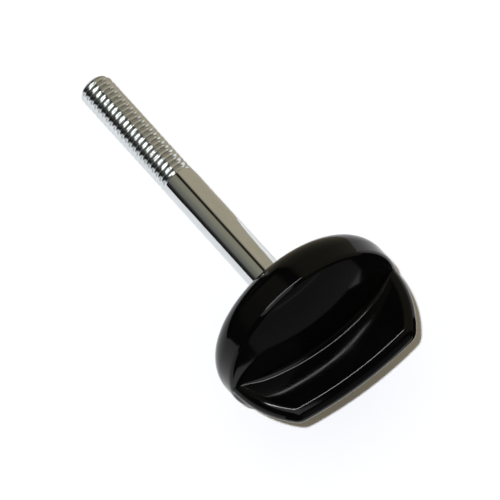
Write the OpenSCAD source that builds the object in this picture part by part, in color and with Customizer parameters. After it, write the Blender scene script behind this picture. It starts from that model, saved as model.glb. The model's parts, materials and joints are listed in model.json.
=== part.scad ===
// Wing bolt: a domed plastic knob with a flat wing, moulded on the hexagonal head of a partly threaded bolt.
// Knob frame: +Z runs along the bolt, away from its tip. X is the width of the wing and Y its thickness.
// The frame's origin is on the bolt's axis, level with the front end of the knob's side wall.
// The model lies as the real one rests on a table: on the bolt's tip and on the back edge of the disc.

/* [Bolt] */
// Diameter of the plain shank
shank_d = 7.94; // [6.5:0.01:9]
// How much smaller than the shank the thread's outside diameter is
thread_undersize = 0.14; // [-1:0.01:1.7]
// Length of the threaded part, from the tip
thread_len = 31.8; // [12:0.1:48]
// Depth of the thread's last valley, where it runs out in front of the shank
valley_depth = 0.42; // [0.3:0.02:0.8]
// Width of the floor of that valley
valley_floor = 0.35; // [0.2:0.05:0.6]
// Length of the bolt that stands out of the hub
exposed_len = 64.5; // [40:0.1:120]
// Depth of the underside of the head in the knob, from the end of the hub
head_depth = 11.7; // [8.5:0.1:14.5]
// Chamfer at the tip
tip_chamfer = 0.9; // [0.3:0.05:1.4]
// Width of the hexagonal head across its flats
head_flats = 12.7; // [11:0.1:15]
// Height of the hexagonal head
head_h = 5.2; // [3:0.1:6]

/* [Disc] */
// Diameter of the disc
disc_d = 45; // [42:0.5:54]
// Length of the straight side wall
wall_h = 3; // [1:0.1:6]
// Radius of the edge at the back of the disc
back_r = 6.2; // [3:0.1:8]
// Radius of the edge at the front of the disc
front_r = 1.2; // [0.6:0.1:2]
// Radius of the domed front
dome_r = 52; // [45:1:64]
// Thickness of the hub's wall around the bolt
hub_wall = 0.93; // [0.5:0.01:3.1]
// Height of the hub over the back of the disc
hub_h = 6.6; // [2:0.1:9]
// Radius of the outer edge of the hub
hub_edge_r = 0.5; // [0.2:0.05:0.8]

/* [Wing] */
// Thickness of the wing
wing_t = 4.8; // [4:0.1:6]
// Height of the wing's end over the front end of the side wall
wing_h = 17.8; // [15:0.1:22]
// How far the wing's sides stay inside the side wall
wing_inset = 0.2; // [0.1:0.05:0.5]
// Radius of the curve of the wing's sides
side_r = 24; // [23:0.5:30]
// Radius of the curve of the wing's end
end_r = 92; // [70:1:150]
// Radius of the two corners of the wing
corner_r = 3.6; // [3.2:0.1:5]
// Radius of the fillet between the wing and the dome
root_r = 1.2; // [0.6:0.1:1.6]

/* [Hidden] */
$fn = 96;

thread_d = shank_d - thread_undersize; // outside diameter of the thread
hub_d = shank_d + 2 * hub_wall;        // diameter of the hub around the bolt
disc_r = disc_d / 2;
half_t = wing_t / 2;
back_z = -wall_h - back_r;            // flat back of the disc
hub_z = back_z - hub_h;               // end of the hub
tip_z = hub_z - exposed_len;          // tip of the bolt
bolt_len = exposed_len + head_depth;   // from under the head to the tip
seat_z = tip_z + bolt_len;            // underside of the head

// The thread's last valley, whose flanks stand 60 degrees apart as those of the thread do.
shank_z = tip_z + thread_len;         // start of the plain shank
valley_r = thread_d / 2 - valley_depth;
valley_top_z = shank_z - (shank_d / 2 - valley_r) * tan(30);
valley_low_z = valley_top_z - valley_floor;
thread_end_z = valley_low_z - valley_depth * tan(30);

// The dome's sphere is tangent to the disc's front edge.
dome_z = -sqrt(pow(dome_r - front_r, 2) - pow(disc_r - front_r, 2));
dome_end_r = (disc_r - front_r) * dome_r / (dome_r - front_r);

// Centres of the arcs of the wing's outline, as [x, z]. The arcs are tangent to each other.
side_c = [disc_r - wing_inset - side_r, 0];
end_c = [0, wing_h - end_r];
corner_c = meet(side_c, side_r - corner_r, end_c, end_r - corner_r);
foot = wing_t * 5 / 16;               // how far the wing runs down into the disc
corner_relief = 0.02;                 // how far the corners lie inside the arcs that they join
fillet_bite = 0.01;                   // how far the fillet runs into the wing and the dome
fillet_inset = 0.5;                   // how far the fillet's ends lie inside the wing's sides

// How far the bolt's axis leans up from the table, from the tip to the knob.
rest_dx = -wall_h - (tip_z + tip_chamfer);
rest_dy = disc_r - back_r - thread_d / 2;
lean = atan2(rest_dy, rest_dx) + asin(back_r / norm([rest_dx, rest_dy]));
rest_lift = (disc_r - back_r) * cos(lean) + wall_h * sin(lean) + back_r;
front_x = (wing_h - half_t) * cos(lean) + half_t;
back_x = tip_z * cos(lean) - (thread_d / 2 - tip_chamfer) * sin(lean);

// Where the circles about c1 and c2 cross, on the side of greater x.
function meet(c1, r1, c2, r2) =
    let (
        d = norm(c2 - c1),
        u = (c2 - c1) / d,
        along = (r1 * r1 - r2 * r2 + d * d) / (2 * d),
        across = sqrt(r1 * r1 - along * along),
        p = c1 + u * along,
        side = [u[1], -u[0]] * across
    )
    (p + side)[0] > (p - side)[0] ? p + side : p - side;

// Puts the knob frame on the table: the bolt along X with its tip at -X, and the wing level across Y.
module at_rest() {
    translate([-(front_x + back_x) / 2, 0, rest_lift])
        rotate([0, -lean, 0])
            rotate([90, 0, 90])
                children();
}

// Direction of v = [x, z] in degrees, from +X towards +Z.
function heading(v) = atan2(v[1], v[0]);

// The angle in degrees that an arc of this length takes on a circle of radius r.
function degrees_of(length, r) = length / r * 180 / PI;

// A sector of a round plate across Y, about c = [x, z], with a half-round rim of outer radius r.
module rimmed_sector(c, r, t, from, to, inner_r = 0) {
    rim_r = r - t / 2;
    translate([c[0], 0, c[1]])
        rotate([90, 0, 0])
            rotate([0, 0, from])
                rotate_extrude(angle = to - from) {
                    translate([inner_r, -t / 2])
                        square([rim_r - inner_r, t]);
                    intersection() {
                        translate([rim_r, 0])
                            circle(d = t);
                        translate([rim_r, -t / 2])
                            square([t, t]);
                    }
                }
}

// One side of the wing and the round corner above it.
module wing_side() {
    rimmed_sector(side_c, side_r, wing_t, -degrees_of(foot, side_r), heading(corner_c - side_c));
    rimmed_sector(corner_c, corner_r - corner_relief, wing_t - 2 * corner_relief, 0, 360);
}

// The wing: a flat plate with curved sides and end, round corners and a half-round edge all round.
module wing() {
    end_start = heading(corner_c - end_c);
    rimmed_sector(end_c, end_r, wing_t, end_start, 180 - end_start, end_r - wing_h - foot);
    wing_side();
    mirror([1, 0, 0])
        wing_side();
}

// The fillet along one face of the wing, where a ball of radius root_r rolls between the wing and the dome.
module root_fillet() {
    ball_y = half_t + root_r - fillet_bite;
    ball_r = dome_r + root_r - fillet_bite;
    ring_r = sqrt(pow(ball_r, 2) - pow(ball_y, 2));
    inner = [ring_r, ball_y] * (dome_r - 2 * root_r) / ball_r;
    inner_y = half_t / 2;
    trim_t = wing_t + 2 * root_r;
    trim_r = side_r - fillet_inset;
    intersection() {
        translate([0, 0, dome_z])
            rotate([-90, 0, 0])
                rotate_extrude()
                    difference() {
                        polygon([[ring_r, ball_y], inner, [inner[0], inner_y], [ring_r, inner_y]]);
                        translate([ring_r, ball_y])
                            circle(r = root_r);
                    }
        rimmed_sector(side_c, trim_r, trim_t, 0, 360);
        mirror([1, 0, 0])
            rimmed_sector(side_c, trim_r, trim_t, 0, 360);
        translate([-disc_r, 0, 0])
            cube([disc_d, disc_r, wing_h]);
    }
}

// Half section of the disc and its hub.
module disc_section() {
    translate([0, back_z])
        square([disc_r - back_r, -back_z]);
    translate([0, -wall_h])
        square([disc_r, wall_h]);
    translate([disc_r - back_r, -wall_h])
        circle(r = back_r);
    translate([disc_r - front_r, 0])
        circle(r = front_r);
    intersection() {
        translate([0, dome_z])
            circle(r = dome_r, $fn = 4 * $fn);
        translate([0, -front_r])
            square([dome_end_r, wing_h]);
    }
    translate([0, hub_z + hub_edge_r])
        square([hub_d / 2, hub_h]);
    translate([0, hub_z])
        square([hub_d / 2 - hub_edge_r, hub_h]);
    translate([hub_d / 2 - hub_edge_r, hub_z + hub_edge_r])
        circle(r = hub_edge_r);
}

// The bolt in the knob frame: tip, threaded part at its outside diameter, last valley, shank and head.
module bolt_form() {
    rotate_extrude()
        polygon([
            [0, tip_z],
            [thread_d / 2 - tip_chamfer, tip_z],
            [thread_d / 2, tip_z + tip_chamfer],
            [thread_d / 2, thread_end_z],
            [valley_r, valley_low_z],
            [valley_r, valley_top_z],
            [shank_d / 2, shank_z],
            [shank_d / 2, seat_z],
            [0, seat_z]
        ]);
    translate([0, 0, seat_z])
        cylinder(h = head_h, d = head_flats / cos(30), $fn = 6);
}

module bolt() {
    color([0.74, 0.75, 0.76])
        at_rest()
            bolt_form();
}

module wing_knob() {
    color([0.03, 0.03, 0.035])
        at_rest()
            difference() {
                union() {
                    rotate_extrude()
                        disc_section();
                    wing();
                    root_fillet();
                    mirror([0, 1, 0])
                        root_fillet();
                }
                bolt_form();
            }
}

bolt();
wing_knob();
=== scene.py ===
"""Looks of the wing bolt: a plated, part-threaded bolt moulded into a black, domed knob with a flat wing.

Both pieces are built in the knob frame, in millimetres: Z runs along the bolt, away from its tip, X is the
width of the wing and Y its thickness. The frame's origin is on the bolt's axis, level with the front of the
side wall.
"""

import json
import logging
import math
from dataclasses import dataclass
from enum import Enum

import bmesh
import bpy
import numpy as np
from mathutils import Matrix, Vector


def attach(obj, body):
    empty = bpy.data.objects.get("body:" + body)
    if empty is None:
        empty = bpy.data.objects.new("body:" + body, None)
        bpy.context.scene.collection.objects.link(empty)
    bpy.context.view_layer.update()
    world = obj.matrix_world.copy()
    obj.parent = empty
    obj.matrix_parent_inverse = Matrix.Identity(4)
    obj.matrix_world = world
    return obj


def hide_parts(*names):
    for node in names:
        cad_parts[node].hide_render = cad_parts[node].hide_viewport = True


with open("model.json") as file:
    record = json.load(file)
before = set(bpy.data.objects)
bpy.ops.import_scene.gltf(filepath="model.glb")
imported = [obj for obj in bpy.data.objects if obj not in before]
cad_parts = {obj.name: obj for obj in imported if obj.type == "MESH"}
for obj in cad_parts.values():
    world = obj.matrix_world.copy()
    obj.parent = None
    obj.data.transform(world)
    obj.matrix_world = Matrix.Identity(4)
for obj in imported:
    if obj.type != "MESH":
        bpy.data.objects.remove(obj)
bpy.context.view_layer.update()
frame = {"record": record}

logging.basicConfig(level=logging.INFO, format="%(levelname)s %(message)s")
log = logging.getLogger("wing_bolt")

MM = 0.001
TINY = 1e-6


class Slot(str, Enum):
    """The record's material slots."""

    STEEL = "plated_steel"
    PLASTIC = "black_plastic"


def linear(hex_colour: str) -> tuple[float, float, float, float]:
    """Turns an sRGB hex colour into linear light.

    Args:
        hex_colour: Six hex digits, with or without a leading '#'.

    Returns:
        Red, green, blue and an alpha of 1, all linear.
    """
    digits = hex_colour.lstrip("#")
    parts = [int(digits[i : i + 2], 16) / 255 for i in (0, 2, 4)]
    levels = [c / 12.92 if c <= 0.04045 else ((c + 0.055) / 1.055) ** 2.4 for c in parts]
    return (*levels, 1.0)


def add_node(
    tree: bpy.types.NodeTree,
    kind: str,
    settings: dict | None = None,
    values: dict | None = None,
    links: dict | None = None,
) -> bpy.types.Node:
    """Adds a node with its settings, socket values and incoming links.

    Args:
        tree: The tree that the node joins.
        kind: The node's type name.
        settings: Node properties and their values.
        values: Input sockets, by name or index, and their fixed values.
        links: Input sockets, by name or index, and the output sockets that feed them.

    Returns:
        The new node.
    """
    node = tree.nodes.new(kind)
    for name, value in (settings or {}).items():
        setattr(node, name, value)
    for socket, value in (values or {}).items():
        node.inputs[socket].default_value = value
    for socket, source in (links or {}).items():
        tree.links.new(source, node.inputs[socket])
    return node


def smooth_step(low: float, high: float, value: np.ndarray) -> np.ndarray:
    """Rises smoothly from 0 at low to 1 at high."""
    t = np.clip((value - low) / (high - low), 0, 1)
    return t * t * (3 - 2 * t)


@dataclass(frozen=True)
class RestFrame:
    """Where the knob frame lies in the model frame.

    Attributes:
        origin: The knob frame's origin, in metres.
        along: Direction of the knob frame's Z, along the bolt and away from its tip.
        across: Direction of its X, the width of the wing.
    """

    origin: Vector
    along: Vector
    across: Vector

    @classmethod
    def from_record(cls, record: dict, hub_z: float) -> "RestFrame":
        """Reads the frame's place from the record's mounts: the thread gives its axis, the hub its origin.

        Args:
            record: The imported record.
            hub_z: Z of the hub's face in the knob frame, in millimetres.

        Returns:
            The frame at rest.
        """
        mounts = {mount["name"]: mount for mount in record["mounts"]}
        along = -Vector(mounts["thread"]["axis"]).normalized()
        on_axis = Vector(mounts["thread"]["pos_m"])
        to_hub = (Vector(mounts["hub_face"]["pos_m"]) - on_axis).dot(along)
        return cls(on_axis + along * (to_hub - hub_z * MM), along, Vector((0, 1, 0)))

    @property
    def through(self) -> Vector:
        """Direction of the knob frame's Y, the thickness of the wing."""
        return self.along.cross(self.across)

    def matrix(self, scale: float = MM) -> Matrix:
        """The matrix from the knob frame to the model frame.

        Args:
            scale: Size of the knob frame's unit in metres.

        Returns:
            A 4 by 4 matrix.
        """
        turn = Matrix((self.across, self.through, self.along)).transposed().to_4x4()
        return Matrix.Translation(self.origin) @ turn @ Matrix.Scale(scale, 4)


def rows_of_rings(rings: np.ndarray) -> list[tuple[int, int, int, int]]:
    """Quads between neighbouring closed rings of points.

    Args:
        rings: Array of shape (rings, points round, 3).

    Returns:
        Faces as point numbers, facing outwards when Z rises from ring to ring.
    """
    count, around = rings.shape[:2]
    faces = []
    for low in range(0, (count - 1) * around, around):
        high = low + around
        for i in range(around):
            following = (i + 1) % around
            faces.append((low + i, low + following, high + following, high + i))
    return faces


def new_piece(name: str, mesh: bpy.types.Mesh) -> bpy.types.Object:
    """Puts a mesh into the scene as an object at the origin.

    Args:
        name: Name of the object.
        mesh: Its mesh.

    Returns:
        The object.
    """
    piece = bpy.data.objects.new(name, mesh)
    bpy.context.scene.collection.objects.link(piece)
    return piece


def evaluated_mesh(piece: bpy.types.Object) -> bpy.types.Mesh:
    """The piece's mesh with its modifiers applied, as plain data."""
    graph = bpy.context.evaluated_depsgraph_get()
    return bpy.data.meshes.new_from_object(piece.evaluated_get(graph), depsgraph=graph)


def smooth(mesh: bpy.types.Mesh, crease: float) -> None:
    """Shades a mesh smooth, apart from edges sharper than crease degrees."""
    mesh.shade_smooth()
    mesh.set_sharp_from_angle(angle=math.radians(crease))


@dataclass(frozen=True)
class Finish:
    """What both finishes share: two colours and two roughnesses, mixed by a soft pattern, and a bump.

    Attributes:
        common_name: Name of the material.
        clean: Colour where it is clean, as sRGB hex.
        used: Colour where it is dulled or handled.
        clean_rough: Roughness where it is clean.
        used_rough: Roughness where it is dulled or handled.
        used_from: Levels of the pattern between which clean turns to used.
        bump_mm: Height of the bump.
        bump_strength: Share of it that shows.
    """

    common_name: str
    clean: str
    used: str
    clean_rough: float
    used_rough: float
    used_from: tuple[float, float]
    bump_mm: float
    bump_strength: float

    def started(self) -> tuple[bpy.types.Material, bpy.types.NodeTree, bpy.types.Node]:
        """Starts the material.

        Returns:
            The material, its tree and its shader.
        """
        material = bpy.data.materials.new(self.common_name)
        material.use_nodes = True
        return material, material.node_tree, material.node_tree.nodes["Principled BSDF"]

    def spread(
        self, tree: bpy.types.NodeTree, pattern: bpy.types.NodeSocket, relief: bpy.types.NodeSocket
    ) -> None:
        """Leads the pattern to the shader's colour and roughness, and the relief to its normal.

        Args:
            tree: The material's tree.
            pattern: Where the surface is used, from 0 to 1.
            relief: Its height, from 0 to 1.
        """
        shader = tree.nodes["Principled BSDF"]
        colour = add_node(
            tree,
            "ShaderNodeMix",
            {"data_type": "RGBA"},
            {"A": linear(self.clean), "B": linear(self.used)},
            {"Factor": pattern},
        )
        ends = ("From Min", "From Max", "To Min", "To Max")
        gloss = add_node(
            tree,
            "ShaderNodeMapRange",
            values=dict(zip(ends, (*self.used_from, self.clean_rough, self.used_rough))),
            links={"Value": pattern},
        )
        bump = add_node(
            tree,
            "ShaderNodeBump",
            values={"Distance": self.bump_mm * MM, "Strength": self.bump_strength},
            links={"Height": relief},
        )
        tree.links.new(colour.outputs["Result"], shader.inputs["Base Color"])
        tree.links.new(gloss.outputs["Result"], shader.inputs["Roughness"])
        tree.links.new(bump.outputs["Normal"], shader.inputs["Normal"])


@dataclass(frozen=True)
class BrightZinc(Finish):
    """Steel with bright zinc plate, drawn to size and then plated.

    Drawing leaves faint lines along the bolt. The plate over them is nearly a mirror, a little cool in
    colour, with soft clouds where it has dulled.

    Attributes:
        cloud_mm: Size of a cloud.
        line_mm: Width of a drawn line. Real ones are a few hundredths wide, too fine to show.
        line_stretch: How many times longer than wide a line is.
    """

    common_name: str = "bright_zinc_plated_steel"
    clean: str = "#D8DDDF"
    used: str = "#CACDCE"
    clean_rough: float = 0.05
    used_rough: float = 0.12
    used_from: tuple[float, float] = (0.35, 0.75)
    bump_mm: float = 0.004
    bump_strength: float = 0.5
    cloud_mm: float = 2.6
    line_mm: float = 0.12
    line_stretch: float = 45.0

    def build(self, rest: RestFrame) -> bpy.types.Material:
        """Makes the material.

        Args:
            rest: The knob frame, which the drawn lines follow.

        Returns:
            The finished material.
        """
        material, tree, shader = self.started()
        shader.inputs["Metallic"].default_value = 1.0
        place = add_node(tree, "ShaderNodeTexCoord")
        aligned = add_node(
            tree,
            "ShaderNodeMapping",
            {"vector_type": "TEXTURE"},
            {"Location": rest.origin, "Rotation": rest.matrix(1.0).to_euler(), "Scale": (MM, MM, MM)},
            {"Vector": place.outputs["Object"]},
        )
        cloud = add_node(
            tree,
            "ShaderNodeTexNoise",
            values={"Scale": 1 / self.cloud_mm, "Detail": 4.0, "Roughness": 0.6},
            links={"Vector": aligned.outputs["Vector"]},
        )
        drawn = add_node(
            tree,
            "ShaderNodeMapping",
            values={"Scale": (1, 1, 1 / self.line_stretch)},
            links={"Vector": aligned.outputs["Vector"]},
        )
        lines = add_node(
            tree,
            "ShaderNodeTexNoise",
            values={"Scale": 1 / self.line_mm, "Detail": 2.0},
            links={"Vector": drawn.outputs["Vector"]},
        )
        self.spread(tree, cloud.outputs["Fac"], lines.outputs["Fac"])
        return material


@dataclass(frozen=True)
class MouldedBlackPlastic(Finish):
    """Black ABS, injection moulded in a polished mould.

    The mould leaves a clear gloss with a very slight waviness, and handling dulls it in patches.

    Attributes:
        gloss_level: Strength of its mirror images, as the shader's specular level.
        patch_mm: Size of a handled patch.
        wave_mm: Length of the waves.
    """

    common_name: str = "moulded_black_abs"
    clean: str = "#030303"
    used: str = "#060606"
    clean_rough: float = 0.06
    used_rough: float = 0.12
    used_from: tuple[float, float] = (0.4, 0.7)
    bump_mm: float = 0.012
    bump_strength: float = 1.0
    gloss_level: float = 0.14
    patch_mm: float = 9.0
    wave_mm: float = 4.5

    def build(self) -> bpy.types.Material:
        """Makes the material.

        Returns:
            The finished material.
        """
        material, tree, shader = self.started()
        shader.inputs["Specular IOR Level"].default_value = self.gloss_level
        place = add_node(tree, "ShaderNodeTexCoord")
        patches = add_node(
            tree,
            "ShaderNodeTexNoise",
            values={"Scale": 1 / (self.patch_mm * MM), "Detail": 5.0, "Roughness": 0.55},
            links={"Vector": place.outputs["Object"]},
        )
        waves = add_node(
            tree,
            "ShaderNodeTexNoise",
            values={"Scale": 1 / (self.wave_mm * MM), "Detail": 0.0},
            links={"Vector": place.outputs["Object"]},
        )
        self.spread(tree, patches.outputs["Fac"], waves.outputs["Fac"])
        return material


@dataclass(frozen=True)
class Bolt:
    """The bolt: a thread of 18 turns to the inch, a plain shank and a hexagonal head inside the knob.

    Sizes are in millimetres and angles in degrees.

    Attributes:
        length: From under the head to the tip.
        root_flat: Share of the way from a root to a crest that is flat at the root.
        crest_flat: Share of that way where the crest's flat begins.
        flank_lean: Lean of the shoulder where the thread runs out, as that of a flank.
        shoulder_round: Radius of the round edge between that shoulder and the shank.
        nick_heading: Where the small nick is about the axis, from +Y towards +X.
        crease: Edges sharper than this stay sharp.
        merge_gap: Points of the wound grid that are nearer than this become one.
        weld_gap: Points nearer than this become one where thread, shank and tip meet.
    """

    shank_d: float = 7.94
    thread_d: float = 7.8
    thread_len: float = 31.8
    length: float = 76.2
    tip_z: float = -80.3
    tip_chamfer: float = 0.9
    head_flats: float = 12.7
    head_h: float = 5.2
    pitch: float = 25.4 / 18
    thread_depth: float = 0.84
    root_flat: float = 0.06
    crest_flat: float = 0.95
    flank_lean: float = 30.0
    shoulder_round: float = 0.22
    nick_depth: float = 0.16
    nick_r: float = 0.45
    nick_z: float = -28.8
    nick_heading: float = -68.6
    around: int = 96
    steps_a_pitch: int = 16
    shank_step: float = 0.3
    crease: float = 50.0
    merge_gap: float = 0.002
    weld_gap: float = 0.003

    @property
    def tip_r(self) -> float:
        """Radius of the flat tip."""
        return self.thread_d / 2 - self.tip_chamfer

    def ring(self, radius: np.ndarray | float, z: float) -> np.ndarray:
        """One closed ring of points about the axis.

        Args:
            radius: One radius, or one for each point.
            z: Height of the ring in the knob frame.

        Returns:
            Array of shape (around, 3).
        """
        angle = np.arange(self.around) * 2 * math.pi / self.around
        radii = np.broadcast_to(radius, angle.shape)
        return np.stack([radii * np.cos(angle), radii * np.sin(angle), np.full_like(angle, z)], 1)

    def hexagon_radii(self) -> np.ndarray:
        """Distance from the axis to the head's side.

        Returns:
            One distance for each point of a ring.
        """
        angle = np.arange(self.around) * 2 * math.pi / self.around
        from_flat = np.mod(angle, math.pi / 3) - math.pi / 6
        return self.head_flats / 2 / np.cos(from_flat)

    def blank(self) -> tuple[np.ndarray, list[tuple[int, ...]]]:
        """The shank and head above the thread, and the flat tip.

        Returns:
            Points in the knob frame, and faces.
        """
        seat_z = self.tip_z + self.length
        start_z = self.tip_z + self.thread_len
        levels = np.linspace(start_z, seat_z, int((seat_z - start_z) / self.shank_step) + 1)
        rings = [self.ring(self.shank_d / 2, z) for z in levels]
        hexagon = self.hexagon_radii()
        rings += [self.ring(hexagon, seat_z), self.ring(hexagon, seat_z + self.head_h)]
        rings = np.array(rings)
        tip = self.ring(self.tip_r, self.tip_z)
        faces = rows_of_rings(rings)
        points = np.concatenate([rings.reshape(-1, 3), tip])
        last = len(rings) * self.around
        faces.append(tuple(range(last - self.around, last)))
        faces.append(tuple(reversed(range(last, last + self.around))))
        return self.nicked(points), faces

    def nicked(self, points: np.ndarray) -> np.ndarray:
        """Presses the small nick into the shank.

        Args:
            points: Points in the knob frame.

        Returns:
            The points, with those near the nick moved towards the axis.
        """
        heading = math.radians(self.nick_heading)
        shank_r = self.shank_d / 2
        centre = np.array([shank_r * math.sin(heading), shank_r * math.cos(heading), self.nick_z])
        away = np.linalg.norm(points - centre, axis=1)
        depth = self.nick_depth * np.exp(-((away / self.nick_r) ** 2))
        radius = np.maximum(np.linalg.norm(points[:, :2], axis=1), TINY)
        moved = points.copy()
        moved[:, :2] *= (1 - depth / radius)[:, None]
        return moved

    def thread_sums(self) -> tuple[tuple[str | float, ...], ...]:
        """What the thread's tree works out for each point of its grid.

        X and Y place the point, from -0.5 to 0.5: X along the helix, and Y from one crest to the next. The
        radius is the greater of the thread's and the shoulder's, within the chamfer. Past the tip, it is
        drawn in to the tip's own radius.

        Returns:
            Sums in order, each its name, its operation, and terms that are earlier names or numbers.
        """
        return (
            ("wound", "MULTIPLY", "Turns", "Around"),
            ("columns", "ADD", "wound", 1.0),
            ("rows", "ADD", "Steps", 1.0),
            ("share wound", "ADD", "X", 0.5),
            ("turn", "MULTIPLY", "share wound", "Turns"),
            ("across", "ADD", "Y", 0.5),
            ("turn and across", "ADD", "turn", "across"),
            ("pitches from tip", "SUBTRACT", "turn and across", 1.0),
            ("free z", "MULTIPLY", "pitches from tip", "Pitch"),
            ("z over tip", "MAXIMUM", "free z", 0.0),
            ("z", "MINIMUM", "z over tip", "Length"),
            ("twice across", "MULTIPLY", "across", 2.0),
            ("side of root", "SUBTRACT", "twice across", 1.0),
            ("from root", "ABSOLUTE", "side of root"),
            ("rise", "SMOOTHSTEP", "from root", self.root_flat, self.crest_flat),
            ("sunk", "SUBTRACT", 1.0, "rise"),
            ("valley", "MULTIPLY", "sunk", "Depth"),
            ("threaded", "SUBTRACT", "Crest Radius", "valley"),
            ("to shank", "SUBTRACT", "Length", "z"),
            ("to shank squared", "POWER", "to shank", 2.0),
            ("rounding squared", "POWER", "Rounding", 2.0),
            ("bow squared", "ADD", "to shank squared", "rounding squared"),
            ("bow", "SQRT", "bow squared"),
            ("bow past rounding", "SUBTRACT", "bow", "Rounding"),
            ("fall", "DIVIDE", "bow past rounding", math.tan(math.radians(self.flank_lean))),
            ("shoulder", "SUBTRACT", "Shank Radius", "fall"),
            ("chamfer", "ADD", "Tip Radius", "z"),
            ("uncut", "MAXIMUM", "threaded", "shoulder"),
            ("open radius", "MINIMUM", "uncut", "chamfer"),
            ("past tip", "LESS_THAN", "free z", TINY),
            ("to tip", "SUBTRACT", "Tip Radius", "open radius"),
            ("drawn in", "MULTIPLY", "to tip", "past tip"),
            ("radius", "ADD", "open radius", "drawn in"),
            ("angle", "MULTIPLY", "turn", 2 * math.pi),
            ("cosine", "COSINE", "angle"),
            ("sine", "SINE", "angle"),
            ("x", "MULTIPLY", "radius", "cosine"),
            ("y", "MULTIPLY", "radius", "sine"),
        )

    def thread_tree(self) -> bpy.types.NodeTree:
        """Builds the Geometry Nodes tree of the thread.

        A grid is wound along the helix, so that its rows follow the crests. What winds past either end is
        drawn in to a ring there, and merging closes the surface.

        Returns:
            The tree, with one named input for each size.
        """
        tree = bpy.data.node_groups.new("right_hand_thread", "GeometryNodeTree")
        face = tree.interface
        for name in ("Pitch", "Crest Radius", "Depth", "Shank Radius", "Tip Radius", "Length", "Rounding"):
            face.new_socket(name, in_out="INPUT", socket_type="NodeSocketFloat")
        for name in ("Turns", "Around", "Steps"):
            face.new_socket(name, in_out="INPUT", socket_type="NodeSocketInt")
        face.new_socket("Material", in_out="INPUT", socket_type="NodeSocketMaterial")
        face.new_socket("Mesh", in_out="OUTPUT", socket_type="NodeSocketGeometry")
        given = add_node(tree, "NodeGroupInput")
        place = add_node(tree, "GeometryNodeInputPosition")
        split = add_node(tree, "ShaderNodeSeparateXYZ", links={0: place.outputs[0]})
        known = dict(given.outputs.items()) | dict(split.outputs.items())
        for name, operation, *terms in self.thread_sums():
            kind, setting = "ShaderNodeMath", "operation"
            if operation == "SMOOTHSTEP":
                kind, setting = "ShaderNodeMapRange", "interpolation_type"
            numbers = {i: term for i, term in enumerate(terms) if not isinstance(term, str)}
            sockets = {i: known[term] for i, term in enumerate(terms) if isinstance(term, str)}
            known[name] = add_node(tree, kind, {setting: operation}, numbers, sockets).outputs[0]
        grid = add_node(
            tree,
            "GeometryNodeMeshGrid",
            values={"Size X": 1.0, "Size Y": 1.0},
            links={"Vertices X": known["columns"], "Vertices Y": known["rows"]},
        )
        spot = add_node(
            tree,
            "ShaderNodeCombineXYZ",
            links={"X": known["x"], "Y": known["y"], "Z": known["z"]},
        )
        placed = add_node(
            tree,
            "GeometryNodeSetPosition",
            links={"Geometry": grid.outputs["Mesh"], "Position": spot.outputs[0]},
        )
        merged = add_node(
            tree,
            "GeometryNodeMergeByDistance",
            values={"Distance": self.merge_gap},
            links={"Geometry": placed.outputs[0]},
        )
        real = add_node(tree, "GeometryNodeRealizeInstances", links={0: merged.outputs[0]})
        dressed = add_node(
            tree,
            "GeometryNodeSetMaterial",
            links={"Geometry": real.outputs[0], "Material": known["Material"]},
        )
        add_node(tree, "NodeGroupOutput", links={0: dressed.outputs[0]})
        return tree

    def thread(self, material: bpy.types.Material) -> bpy.types.Mesh:
        """The thread as a plain mesh, with its tip at Z = 0.

        Args:
            material: The material that the tree sets.

        Returns:
            The mesh, in millimetres.
        """
        maker = new_piece("thread_maker", bpy.data.meshes.new("thread_maker"))
        modifier = maker.modifiers.new("thread", "NODES")
        modifier.node_group = self.thread_tree()
        sizes = {
            "Pitch": self.pitch,
            "Crest Radius": self.thread_d / 2,
            "Depth": self.thread_depth,
            "Shank Radius": self.shank_d / 2,
            "Tip Radius": self.tip_r,
            "Length": self.thread_len,
            "Rounding": self.shoulder_round,
            "Turns": math.ceil(self.thread_len / self.pitch) + 1,
            "Around": self.around,
            "Steps": self.steps_a_pitch,
            "Material": material,
        }
        for socket in modifier.node_group.interface.items_tree:
            if socket.in_out == "INPUT":
                modifier[socket.identifier] = sizes[socket.name]
        mesh = evaluated_mesh(maker)
        maker.modifiers.remove(modifier)
        bpy.data.objects.remove(maker)
        return mesh

    def build(self, rest: RestFrame, material: bpy.types.Material) -> bpy.types.Object:
        """Makes the whole bolt as one closed mesh.

        Args:
            rest: The knob frame.
            material: Its finish.

        Returns:
            The piece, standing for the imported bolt.
        """
        thread = self.thread(material)
        thread.transform(Matrix.Translation((0, 0, self.tip_z)))
        points, faces = self.blank()
        mesh = join_meshes("bolt_visual", [mesh_data(thread), (points, faces)])
        weld(mesh, self.weld_gap)
        mesh.transform(rest.matrix())
        mesh.materials.append(material)
        smooth(mesh, self.crease)
        piece = new_piece("plated_bolt", mesh)
        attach(piece, "root")
        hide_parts("bolt")
        return piece


def mesh_data(mesh: bpy.types.Mesh) -> tuple[np.ndarray, list[tuple[int, ...]]]:
    """A mesh's points and faces.

    Args:
        mesh: The mesh.

    Returns:
        Array of points, and faces as point numbers.
    """
    points = np.zeros(len(mesh.vertices) * 3)
    mesh.vertices.foreach_get("co", points)
    return points.reshape(-1, 3), [tuple(face.vertices) for face in mesh.polygons]


def join_meshes(name: str, parts: list[tuple[np.ndarray, list[tuple[int, ...]]]]) -> bpy.types.Mesh:
    """Puts several sets of points and faces into one mesh.

    Args:
        name: Name of the new mesh.
        parts: The sets of points and faces.

    Returns:
        The mesh.
    """
    points: list[np.ndarray] = []
    faces: list[tuple[int, ...]] = []
    start = 0
    for some_points, some_faces in parts:
        points.append(some_points)
        faces += [tuple(start + i for i in face) for face in some_faces]
        start += len(some_points)
    mesh = bpy.data.meshes.new(name)
    mesh.from_pydata(np.concatenate(points).tolist(), [], faces)
    return mesh


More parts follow.
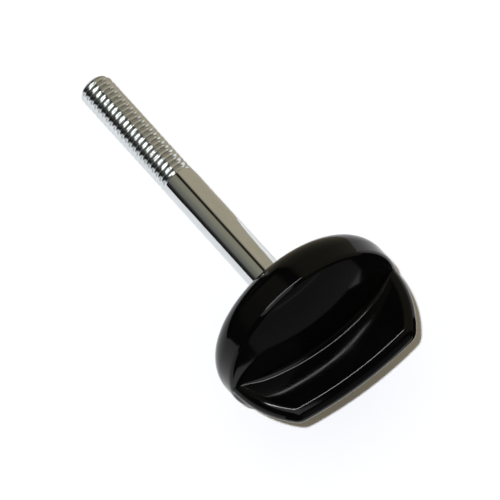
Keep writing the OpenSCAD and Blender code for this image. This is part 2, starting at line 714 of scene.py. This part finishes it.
def weld(mesh: bpy.types.Mesh, distance: float) -> None:
    """Merges doubled points and turns every face outwards.

    Args:
        mesh: The mesh, which is changed.
        distance: Points nearer than this become one, and edges shorter than a tenth of it go.
    """
    work = bmesh.new()
    work.from_mesh(mesh)
    bmesh.ops.remove_doubles(work, verts=work.verts, dist=distance)
    bmesh.ops.dissolve_degenerate(work, edges=work.edges, dist=distance / 10)
    bmesh.ops.recalc_face_normals(work, faces=work.faces)
    work.to_mesh(mesh)
    work.free()


@dataclass(frozen=True)
class WingKnob:
    """The knob: a round disc with a domed front, a flat wing and a hub, moulded in one piece.

    Its surface is where a distance field is zero. Sizes are in millimetres and angles in degrees.

    Attributes:
        wing_inset: How far the wing's sides stay inside the side wall.
        foot: How far the wing runs down into the disc.
        root_r: Radius of the fillet between the wing's faces and the dome.
        root_end_r: Its radius at the wing's sides.
        root_fade: Distances from the middle of the wing between which it goes from one to the other.
        grid_step: Edge of a grid cell.
        grid_margin: Cells left free round the knob.
        relax_passes: How often the points are spread more evenly.
        crease: Edges sharper than this stay sharp.
    """

    disc_d: float = 45.0
    wall_h: float = 3.0
    back_r: float = 6.2
    front_r: float = 1.2
    dome_r: float = 52.0
    hub_d: float = 9.8
    hub_h: float = 6.6
    hub_edge_r: float = 0.5
    hub_root_r: float = 0.6
    wing_t: float = 4.8
    wing_h: float = 17.8
    wing_inset: float = 0.2
    side_r: float = 24.0
    end_r: float = 92.0
    corner_r: float = 3.6
    foot: float = 1.5
    root_r: float = 1.2
    root_end_r: float = 0.2
    root_fade: tuple[float, float] = (15.0, 21.5)
    grid_step: float = 0.29
    grid_margin: float = 2.5
    relax_passes: int = 6
    crease: float = 38.0

    @property
    def disc_r(self) -> float:
        """Radius of the disc."""
        return self.disc_d / 2

    @property
    def dome_z(self) -> float:
        """Z of the centre of the dome's sphere, which is tangent to the front edge."""
        return -(self.dome_r - self.front_r) * math.cos(self.dome_lean)

    @property
    def dome_lean(self) -> float:
        """Angle between the axis and the line from the dome's centre through the front edge's centre."""
        return math.asin((self.disc_r - self.front_r) / (self.dome_r - self.front_r))

    def disc_distance(self, r: np.ndarray, z: np.ndarray) -> np.ndarray:
        """Distance to the disc, from its profile of tangent lines and arcs.

        Args:
            r: Distance from the axis.
            z: Height in the knob frame.

        Returns:
            Signed distance, negative inside.
        """
        edge_r = self.disc_r - self.back_r
        back = -self.wall_h - self.back_r - z
        back_edge = np.hypot(r - edge_r, z + self.wall_h) - self.back_r
        wall = r - self.disc_r
        front_edge = np.hypot(r - self.disc_r + self.front_r, z) - self.front_r
        dome = np.hypot(r, z - self.dome_z) - self.dome_r
        on_dome = np.arctan2(r, z - self.dome_z) < self.dome_lean
        front = np.where(on_dome, dome, front_edge)
        rear = np.where(r < edge_r, back, back_edge)
        return np.where(z > 0, front, np.where(z > -self.wall_h, wall, rear))

    @property
    def hub_z(self) -> float:
        """Z of the hub's face."""
        return -self.wall_h - self.back_r - self.hub_h

    def hub_distance(self, r: np.ndarray, z: np.ndarray) -> np.ndarray:
        """Distance to the hub, a cylinder with a rounded edge that ends inside the disc.

        Args:
            r: Distance from the axis.
            z: Height in the knob frame.

        Returns:
            Signed distance, negative inside.
        """
        out = r - self.hub_d / 2 + self.hub_edge_r
        down = self.hub_z + self.hub_edge_r - z
        beyond = np.hypot(np.maximum(out, 0), np.maximum(down, 0))
        rod = np.minimum(np.maximum(out, down), 0) + beyond - self.hub_edge_r
        return np.maximum(rod, z + self.wall_h)

    def outline_distance(self, x: np.ndarray, z: np.ndarray) -> np.ndarray:
        """Distance to the wing's outline, drawn in so far that its corners are points.

        Args:
            x: Place across the wing.
            z: Height in the knob frame.

        Returns:
            Signed distance to three arcs' common inside.
        """
        x = np.abs(x)
        side_x = self.disc_r - self.wing_inset - self.side_r
        side_r = self.side_r - self.corner_r
        end_z = self.wing_h - self.end_r
        end_r = self.end_r - self.corner_r
        to_side = np.hypot(x - side_x, z)
        to_end = np.hypot(x, z - end_z)
        gap = math.hypot(side_x, end_z)
        along = (end_r**2 - side_r**2 + gap**2) / (2 * gap)
        off = math.sqrt(end_r**2 - along**2)
        unit = np.array([side_x, -end_z]) / gap
        corner = np.array([0, end_z]) + unit * along + np.array([unit[1], -unit[0]]) * off
        inside = np.maximum(to_side - side_r, to_end - end_r)
        by_side = (to_side > side_r) & (z * side_r / np.maximum(to_side, TINY) <= corner[1])
        by_end = (to_end > end_r) & (x * end_r / np.maximum(to_end, TINY) < corner[0])
        outside = np.hypot(x - corner[0], z - corner[1])
        outside = np.where(by_side, to_side - side_r, outside)
        outside = np.where(by_end, to_end - end_r, outside)
        return np.where(inside < 0, inside, outside)

    def wing_distance(self, x: np.ndarray, y: np.ndarray, z: np.ndarray) -> np.ndarray:
        """Distance to the wing, a plate with a half-round edge.

        Args:
            x: Place across the wing.
            y: Place through its thickness.
            z: Height in the knob frame.

        Returns:
            Signed distance, negative inside.
        """
        half_t = self.wing_t / 2
        beyond = self.outline_distance(x, z) - (self.corner_r - half_t)
        plate = np.hypot(np.maximum(beyond, 0), y) - half_t
        return np.maximum(plate, -self.foot - z)

    @staticmethod
    def blend(first: np.ndarray, second: np.ndarray, radius: np.ndarray | float) -> np.ndarray:
        """Joins two distances, with a round fillet where both are near zero."""
        dip = np.hypot(np.maximum(radius - first, 0), np.maximum(radius - second, 0))
        return np.maximum(radius, np.minimum(first, second)) - dip

    def distance(self, points: np.ndarray) -> np.ndarray:
        """Signed distance from the knob's outer surface.

        Args:
            points: Array of shape (count, 3), in the knob frame.

        Returns:
            One distance for each point, negative inside.
        """
        x, y, z = points.T
        r = np.hypot(x, y)
        fade = smooth_step(*self.root_fade, np.abs(x))
        root = self.root_r + (self.root_end_r - self.root_r) * fade
        body = self.blend(self.disc_distance(r, z), self.hub_distance(r, z), self.hub_root_r)
        return self.blend(body, self.wing_distance(x, y, z), root)

    def slope(self, points: np.ndarray, reach: float = 1e-4) -> np.ndarray:
        """The direction in which the distance grows, by central differences.

        Args:
            points: Array of shape (count, 3), in the knob frame.
            reach: How far to either side of a point the distance is taken.

        Returns:
            One slope for each point, about 1 long.
        """
        steps = np.eye(3) * reach
        parts = [self.distance(points + s) - self.distance(points - s) for s in steps]
        return np.stack(parts, 1) / (2 * reach)

    def settle(self, points: np.ndarray, passes: int = 3, least_steep: float = 0.2) -> np.ndarray:
        """Moves points onto the surface.

        Args:
            points: Points near the surface.
            passes: How many Newton steps each point takes.
            least_steep: The least squared slope that a step counts with.

        Returns:
            The points on the surface.
        """
        for _ in range(passes):
            slope = self.slope(points)
            steep = np.maximum((slope**2).sum(1), least_steep)
            points = points - slope * (self.distance(points) / steep)[:, None]
        return points

    def surface(self) -> tuple[np.ndarray, np.ndarray]:
        """Meshes the surface with one point for each grid cell that it crosses.

        Returns:
            Points on the surface, and quads facing outwards.
        """
        margin = self.grid_margin * self.grid_step
        low = np.array([-self.disc_r, -self.disc_r, self.hub_z]) - margin
        high = np.array([self.disc_r, self.disc_r, self.wing_h]) + margin
        axes = [np.arange(a, b, self.grid_step) for a, b in zip(low, high)]
        shape = tuple(len(a) for a in axes)
        mesh_points = np.stack(np.meshgrid(*axes, indexing="ij"), -1).reshape(-1, 3)
        inside = (self.distance(mesh_points) < 0).reshape(shape)
        corners = [
            inside[i : shape[0] - 1 + i, j : shape[1] - 1 + j, k : shape[2] - 1 + k].astype(np.int8)
            for i in (0, 1)
            for j in (0, 1)
            for k in (0, 1)
        ]
        filled = sum(corners)
        crossed = (filled > 0) & (filled < 8)
        number = np.full(crossed.shape, -1)
        number[crossed] = np.arange(crossed.sum())
        points = np.argwhere(crossed) * self.grid_step + low + self.grid_step / 2
        quads = []
        for axis in range(3):
            here = np.moveaxis(inside, axis, 0)
            cells = np.moveaxis(number, axis, 0)
            if axis == 1:  # keeps the two other axes in an order that turns the faces outwards
                here, cells = here.swapaxes(1, 2), cells.swapaxes(1, 2)
            before, after = here[:-1, 1:-1, 1:-1], here[1:, 1:-1, 1:-1]
            ring = [cells[:, :-1, :-1], cells[:, 1:, :-1], cells[:, 1:, 1:], cells[:, :-1, 1:]]
            for leaving, order in ((before & ~after, (0, 1, 2, 3)), (~before & after, (3, 2, 1, 0))):
                quads.append(np.stack([ring[i][leaving] for i in order], 1))
        return points, np.concatenate(quads)

    def relaxed(self, points: np.ndarray, quads: np.ndarray) -> np.ndarray:
        """Evens out the spacing of the points on the surface.

        Args:
            points: Points near the surface.
            quads: The faces that join them.

        Returns:
            The points, evenly spread on the surface.
        """
        first = quads.ravel()
        second = np.roll(quads, -1, axis=1).ravel()
        count = np.bincount(first, minlength=len(points)) + np.bincount(second, minlength=len(points))
        points = self.settle(points)
        for _ in range(self.relax_passes):
            total = np.zeros_like(points)
            for axis in range(3):
                total[:, axis] = np.bincount(first, points[second, axis], len(points))
                total[:, axis] += np.bincount(second, points[first, axis], len(points))
            points = self.settle((points + total / count[:, None]) / 2, passes=2)
        return points

    def build(self, rest: RestFrame, bolt: Bolt, material: bpy.types.Material) -> bpy.types.Object:
        """Makes the knob, with the room for the bolt cut out.

        Args:
            rest: The knob frame.
            bolt: The bolt that the knob is moulded on.
            material: Its finish.

        Returns:
            The piece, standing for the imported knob.
        """
        points, quads = self.surface()
        points = self.relaxed(points, quads)
        mesh = bpy.data.meshes.new("knob_body")
        mesh.from_pydata(points.tolist(), [], quads.tolist())
        mesh.materials.append(material)
        piece = new_piece("moulded_knob", mesh)
        cutter = new_piece("bolt_room", join_meshes("bolt_room", [self.bolt_room(bolt)]))
        cut = piece.modifiers.new("bolt_room", "BOOLEAN")
        cut.operation = "DIFFERENCE"
        cut.solver = "MANIFOLD"
        cut.object = cutter
        result = evaluated_mesh(piece)
        piece.modifiers.remove(cut)
        bpy.data.objects.remove(cutter)
        result.transform(rest.matrix())
        smooth(result, self.crease)
        piece.data = result
        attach(piece, "root")
        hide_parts("wing_knob")
        return piece

    @staticmethod
    def bolt_room(bolt: Bolt) -> tuple[np.ndarray, list[tuple[int, ...]]]:
        """The plain shape of the head and half of the bolt, which is cut from the knob.

        Args:
            bolt: The bolt.

        Returns:
            Points in the knob frame, and faces.
        """
        seat_z = bolt.tip_z + bolt.length
        hexagon = bolt.hexagon_radii()
        shank_r = bolt.shank_d / 2
        rings = np.array([
            bolt.ring(shank_r, seat_z - bolt.length / 2),
            bolt.ring(shank_r, seat_z),
            bolt.ring(hexagon, seat_z),
            bolt.ring(hexagon, seat_z + bolt.head_h),
        ])
        faces = rows_of_rings(rings)
        last = len(rings) * bolt.around
        faces.append(tuple(range(last - bolt.around, last)))
        faces.append(tuple(reversed(range(bolt.around))))
        return rings.reshape(-1, 3), faces


@dataclass(frozen=True)
class View:
    """The camera: a very long lens, looking steeply down on the resting bolt.

    Attributes:
        azimuth: Heading in degrees of the camera from the object, from -Y towards +X.
        elevation: Degrees above the floor.
        roll: Degrees that the camera is turned about its line of sight.
        distance: From the camera to the object, in metres.
        width: Width of the picture at the object, in metres.
        aim_left: How far left of the knob frame's origin the middle of the picture lies, in metres.
        aim_up: How far above it, in metres.
        sensor: Width of the sensor in millimetres.
        clip_end: How far the camera sees, in metres.
    """

    azimuth: float = 53.05
    elevation: float = 72.46
    roll: float = -1.02
    distance: float = 3.0
    width: float = 0.108
    aim_left: float = 0.01353
    aim_up: float = 0.01702
    sensor: float = 36.0
    clip_end: float = 20.0

    def axes(self) -> tuple[Vector, Vector, Vector]:
        """Directions in the picture.

        Returns:
            To the right, up, and back towards the camera.
        """
        a, e = math.radians(self.azimuth), math.radians(self.elevation)
        back = Vector((math.sin(a) * math.cos(e), -math.cos(a) * math.cos(e), math.sin(e)))
        level = Vector((math.cos(a), math.sin(a), 0))
        right = Matrix.Rotation(math.radians(self.roll), 3, back) @ level
        return right, back.cross(right), back

    def build(self, rest: RestFrame) -> bpy.types.Object:
        """Makes the camera.

        Args:
            rest: The knob frame, whose origin lies right of and below the middle of the picture.

        Returns:
            The scene's camera.
        """
        right, up, back = self.axes()
        data = bpy.data.cameras.new("camera")
        data.sensor_width = self.sensor
        data.lens = self.sensor * self.distance / self.width
        data.clip_end = self.clip_end
        camera = bpy.data.objects.new("camera", data)
        middle = rest.origin - right * self.aim_left + up * self.aim_up
        turn = Matrix((right, up, back)).transposed().to_4x4()
        camera.matrix_world = Matrix.Translation(middle + back * self.distance) @ turn
        bpy.context.scene.collection.objects.link(camera)
        bpy.context.scene.camera = camera
        return camera


@dataclass(frozen=True)
class Card:
    """A plain light card that shows in gloss only, given by the direction in which it stands.

    Attributes:
        name: What the card is for.
        azimuth: Heading in degrees, from +X towards +Y.
        elevation: Degrees above the floor.
        width: Width across, in metres.
        height: Height, in metres.
        strength: Brightness, where 1 is white.
        colour: Colour as sRGB hex.
    """

    name: str
    azimuth: float
    elevation: float
    width: float
    height: float
    strength: float
    colour: str = "#FFFFFF"


@dataclass(frozen=True)
class Stop:
    """One place along the arch of boards over the bolt.

    Attributes:
        heading: Angle about the bolt in degrees, 0 overhead and positive towards +Y.
        colour: Colour as sRGB hex.
        near: Where the board ends on the knob's side, in degrees from the bolt's direction.
        far: Where it ends on the tip's side.
    """

    heading: float
    colour: str
    near: float = 100.0
    far: float = 142.0


@dataclass(frozen=True)
class PaintedReflectionMat:
    """A glowing sheet just above the floor, seen in gloss alone, that paints shade and reflections into the
    floor's image in the gloss.

    Attributes:
        colour: Colour as sRGB hex.
        corners: Its corners on the floor, in metres.
    """

    colour: str
    corners: tuple[tuple[float, float], ...]


@dataclass(frozen=True)
class Studio:
    """The floor, the boards and cards that the gloss shows, the sheets that paint shade and reflections on
    the floor, and the lamps. Sizes are in metres.

    Attributes:
        room_r: Radius of the dim room that the gloss shows behind everything else.
        fill_r: Radius of the dome that lights dull surfaces from all sides.
        dome_segments: Segments round either of them.
        key_angle: Width of the key light in degrees.
        key_left: How far left of the camera the key light comes from, as a slope.
        key_up: How far above it, as a slope.
        arch: The boards over the bolt, which the shank shows as bands along its length.
        panel: A white board ahead of the knob, which the thread's flanks show as short bars.
        tube: A narrow lamp round the bolt's middle, which the wing and the side wall show as thin lines.
        painted_reflections: Glowing sheets on the floor, seen in gloss alone, which paint shade and
            reflections into the lower sides of shank, thread and knob: painted shade of the floor, tan and
            dark, and a painted grey reflection in the dome.
    """

    floor_size: float = 12.0
    floor_colour: str = "#FFFFFF"
    room_r: float = 2.4
    room_colour: str = "#24231F"
    fill_r: float = 2.3
    fill_colour: str = "#8E8674"
    dome_segments: int = 64
    key_colour: str = "#F2F6FF"
    key_strength: float = 2.85
    key_angle: float = 1.2
    key_left: float = 0.055
    key_up: float = 0.05
    card_distance: float = 1.2
    panel_r: float = 1.25
    tube_r: float = 1.2
    arch_r: float = 1.3
    arch_step: float = 3.0
    arch: tuple[Stop, ...] = (
        Stop(-84, "#202020"),
        Stop(-71, "#353533"),
        Stop(-60, "#6C6D68"),
        Stop(-45, "#7D7C74"),
        Stop(-25, "#908D7D"),
        Stop(-3, "#95917F"),
        Stop(3, "#1C1B17"),
        Stop(13, "#1C1B17"),
        Stop(19, "#A59C88", 60, 160),
        Stop(26, "#B9AF99", 55, 160),
        Stop(96, "#B9AF99", 55, 160),
    )
    panel: tuple[Stop, ...] = (Stop(-42, "#FFFFFF", 38, 97), Stop(3, "#FFFFFF", 38, 97))
    panel_strength: float = 2.1
    tube: tuple[Stop, ...] = (Stop(-34, "#FFFFFF", 94, 97), Stop(28, "#FFFFFF", 94, 97))
    tube_strength: float = 48.0
    painted_mat_height: float = 0.0002
    # Painted shade and reflections, seen in gloss alone: #B9AF99 paints the floor's tan shade on the +Y
    # side, #202020 paints dark shade where the lit floor would show, and #969696 paints a grey reflection
    # in the dome.
    painted_reflections: tuple[PaintedReflectionMat, ...] = (
        PaintedReflectionMat("#B9AF99", ((-1.2, 0.0045), (-0.004, 0.0045), (-0.25, 1.0), (-1.2, 1.0))),
        PaintedReflectionMat("#202020", ((-0.0625, -0.0045), (-1.5, -0.0045), (-1.5, -1.8), (-0.7, -2.1), (-0.037, -0.107))),
        PaintedReflectionMat("#969696", ((0.1, -0.03), (1.2, -0.4), (1.2, 0.7), (0.1, 0.06))),
        PaintedReflectionMat("#202020", ((0.055, 0.012), (0.1, 0.06), (1.2, 0.7), (1.2, 1.2), (0.2, 1.2), (0.045, 0.035))),
        PaintedReflectionMat("#202020", ((0.1, -0.03), (0.06, -0.05), (0.5, -1.2), (1.2, -1.2), (1.2, -0.4))),
    )
    cards: tuple[Card, ...] = (Card("sweep", 8.0, 16.0, 0.85, 0.66, 0.27),)

    def floor(self) -> bpy.types.Object:
        """Makes the plain pale floor.

        Returns:
            The floor.
        """
        half = self.floor_size / 2
        corners = [(-half, -half, 0), (half, -half, 0), (half, half, 0), (-half, half, 0)]
        mesh = bpy.data.meshes.new("floor")
        mesh.from_pydata(corners, [], [(0, 1, 2, 3)])
        material = bpy.data.materials.new("pale_floor")
        material.use_nodes = True
        shader = material.node_tree.nodes["Principled BSDF"]
        shader.inputs["Base Color"].default_value = linear(self.floor_colour)
        shader.inputs["Roughness"].default_value = 1.0
        shader.inputs["Specular IOR Level"].default_value = 0.0
        mesh.materials.append(material)
        floor = new_piece("floor", mesh)
        return floor

    def glow(self, colour: str, strength: float) -> bpy.types.Material:
        """Makes a plain glowing material.

        Args:
            colour: Colour as sRGB hex.
            strength: Brightness, where 1 shows the colour as it is.

        Returns:
            The material.
        """
        material = bpy.data.materials.new("glowing_card")
        material.use_nodes = True
        tree = material.node_tree
        tree.nodes.clear()
        shine = add_node(tree, "ShaderNodeEmission", values={"Color": linear(colour), "Strength": strength})
        add_node(tree, "ShaderNodeOutputMaterial", links={"Surface": shine.outputs[0]})
        return material

    def emitter(self, name: str, mesh: bpy.types.Mesh, in_gloss: bool = True) -> bpy.types.Object:
        """Makes a mesh that shines but isn't seen by the camera and casts no shadow.

        Args:
            name: Name of the object.
            mesh: Its mesh, with its material set.
            in_gloss: Whether it shows in gloss alone, or else lights dull surfaces alone.

        Returns:
            The object.
        """
        thing = new_piece(name, mesh)
        thing.visible_camera = False
        thing.visible_shadow = False
        thing.visible_glossy = in_gloss
        thing.visible_diffuse = not in_gloss
        return thing

    def dome(self, name: str, radius: float, colour: str, in_gloss: bool) -> bpy.types.Object:
        """Makes an evenly glowing sphere round everything.

        Args:
            name: Name of the object.
            radius: Its radius in metres.
            colour: Its colour as sRGB hex.
            in_gloss: Whether it shows in gloss alone, or else lights dull surfaces alone.

        Returns:
            The sphere.
        """
        mesh = bpy.data.meshes.new(name)
        work = bmesh.new()
        rings = self.dome_segments // 2
        bmesh.ops.create_uvsphere(work, u_segments=self.dome_segments, v_segments=rings, radius=radius)
        work.to_mesh(mesh)
        work.free()
        mesh.materials.append(self.glow(colour, 1.0))
        return self.emitter(name, mesh, in_gloss)

    def boards(
        self, name: str, rest: RestFrame, stops: tuple[Stop, ...], radius: float, strength: float
    ) -> bpy.types.Object:
        """Makes an arch of boards about the bolt's direction.

        Args:
            name: Name of the boards.
            rest: The knob frame, whose Z is the bolt's direction.
            stops: Colours and ends of the boards, from the -Y side to the +Y side.
            radius: Distance from the object, in metres.
            strength: Brightness of white boards, where 1 is white.

        Returns:
            The arch, with its colours in an attribute.
        """
        headings = [stop.heading for stop in stops]
        angles = np.arange(headings[0], headings[-1] + self.arch_step, self.arch_step)
        angles = np.unique(np.concatenate([angles[angles < headings[-1]], headings]))
        shades = np.array([linear(stop.colour) for stop in stops])
        colours = np.stack([np.interp(angles, headings, shades[:, i]) for i in range(4)], 1)
        edges = [np.interp(angles, headings, [getattr(s, side) for s in stops]) for side in ("near", "far")]
        points = []
        for heading, *ends in zip(np.radians(angles), *np.radians(edges)):
            out = rest.through * math.cos(heading) + rest.across * math.sin(heading)
            points += [(rest.along * math.cos(end) + out * math.sin(end)) * radius for end in ends]
        faces = [(i, i + 1, i + 3, i + 2) for i in range(0, len(points) - 2, 2)]
        mesh = bpy.data.meshes.new(name)
        mesh.from_pydata([tuple(p) for p in points], [], faces)
        layer = mesh.attributes.new("shade", "FLOAT_COLOR", "POINT")
        layer.data.foreach_set("color", np.repeat(colours, 2, axis=0).ravel())
        material = self.glow("#FFFFFF", strength)
        tree = material.node_tree
        shade = add_node(tree, "ShaderNodeAttribute", {"attribute_name": "shade"})
        tree.links.new(shade.outputs["Color"], tree.nodes["Emission"].inputs["Color"])
        mesh.materials.append(material)
        return self.emitter(name, mesh)

    def painted_reflection_mats(self) -> bpy.types.Object:
        """Makes the glowing sheets round the object, which paint shade and reflections into the floor's
        image in the gloss.

        Returns:
            All the sheets as one object.
        """
        points = [(x, y, self.painted_mat_height) for painted_mat in self.painted_reflections for x, y in painted_mat.corners]
        faces, start = [], 0
        for painted_mat in self.painted_reflections:
            faces.append(tuple(range(start, start + len(painted_mat.corners))))
            start += len(painted_mat.corners)
        mesh = bpy.data.meshes.new("painted_reflections")
        mesh.from_pydata(points, [], faces)
        for number, painted_mat in enumerate(self.painted_reflections):
            mesh.materials.append(self.glow(painted_mat.colour, 1.0))
            mesh.polygons[number].material_index = number
        return self.emitter("painted_reflections", mesh)

    def card(self, card: Card) -> bpy.types.Object:
        """Makes one light card, facing the object.

        Args:
            card: Where it stands and how bright it is.

        Returns:
            The card.
        """
        a, e = math.radians(card.azimuth), math.radians(card.elevation)
        back = Vector((math.cos(a) * math.cos(e), math.sin(a) * math.cos(e), math.sin(e)))
        right = Vector((-math.sin(a), math.cos(a), 0))
        up = back.cross(right)
        middle = back * self.card_distance
        reach, rise = right * card.width / 2, up * card.height / 2
        low, high = middle - rise, middle + rise
        corners = [low - reach, low + reach, high + reach, high - reach]
        mesh = bpy.data.meshes.new(card.name)
        mesh.from_pydata([tuple(c) for c in corners], [], [(0, 1, 2, 3)])
        mesh.materials.append(self.glow(card.colour, card.strength))
        return self.emitter(card.name, mesh)

    def key(self, view: View) -> bpy.types.Object:
        """Makes the key light, which comes from just above and left of the camera.

        Args:
            view: The camera's view.

        Returns:
            The lamp.
        """
        right, up, back = view.axes()
        toward = (back - right * self.key_left + up * self.key_up).normalized()
        data = bpy.data.lights.new("key", "SUN")
        data.energy = self.key_strength
        data.color = linear(self.key_colour)[:3]
        data.angle = math.radians(self.key_angle)
        lamp = bpy.data.objects.new("key", data)
        lamp.rotation_euler = toward.to_track_quat("Z", "Y").to_euler()
        lamp.visible_glossy = False
        bpy.context.scene.collection.objects.link(lamp)
        return lamp

    def world(self) -> None:
        """Makes the backdrop, which is white to the camera, gloss and glass, and dark to all else."""
        world = bpy.data.worlds.new("backdrop")
        bpy.context.scene.world = world
        world.use_nodes = True
        tree = world.node_tree
        tree.nodes.clear()
        path = add_node(tree, "ShaderNodeLightPath").outputs
        seen = add_node(
            tree,
            "ShaderNodeMath",
            {"operation": "MAXIMUM"},
            links={0: path["Is Camera Ray"], 1: path["Is Glossy Ray"]},
        )
        seen = add_node(
            tree,
            "ShaderNodeMath",
            {"operation": "MAXIMUM"},
            links={0: seen.outputs[0], 1: path["Is Transmission Ray"]},
        )
        sky = add_node(
            tree,
            "ShaderNodeBackground",
            values={"Color": (1, 1, 1, 1)},
            links={"Strength": seen.outputs[0]},
        )
        add_node(tree, "ShaderNodeOutputWorld", links={"Surface": sky.outputs[0]})

    def build(self, view: View, rest: RestFrame) -> None:
        """Makes the whole studio.

        Args:
            view: The camera's view.
            rest: The knob frame.
        """
        self.floor()
        self.dome("room", self.room_r, self.room_colour, True)
        self.dome("fill", self.fill_r, self.fill_colour, False)
        self.boards("arch", rest, self.arch, self.arch_r, 1.0)
        self.boards("panel", rest, self.panel, self.panel_r, self.panel_strength)
        self.boards("tube", rest, self.tube, self.tube_r, self.tube_strength)
        # Sheets that paint shade and reflections of the floor into the gloss.
        self.painted_reflection_mats()
        for card in self.cards:
            self.card(card)
        self.key(view)
        self.world()
        bpy.context.scene.view_settings.view_transform = "Standard"


def triangles(piece: bpy.types.Object) -> int:
    """How many triangles a piece has."""
    return sum(len(face.vertices) - 2 for face in piece.data.polygons)


def main() -> None:
    """Builds the view, both pieces and the studio."""
    bolt, knob = Bolt(), WingKnob()
    rest = RestFrame.from_record(frame["record"], knob.hub_z)
    view = View()
    view.build(rest)
    for piece in (
        bolt.build(rest, BrightZinc().build(rest)),
        knob.build(rest, bolt, MouldedBlackPlastic().build()),
    ):
        log.info("%s: %d triangles", piece.name, triangles(piece))
    Studio().build(view, rest)


if __name__ == "__main__":
    main()
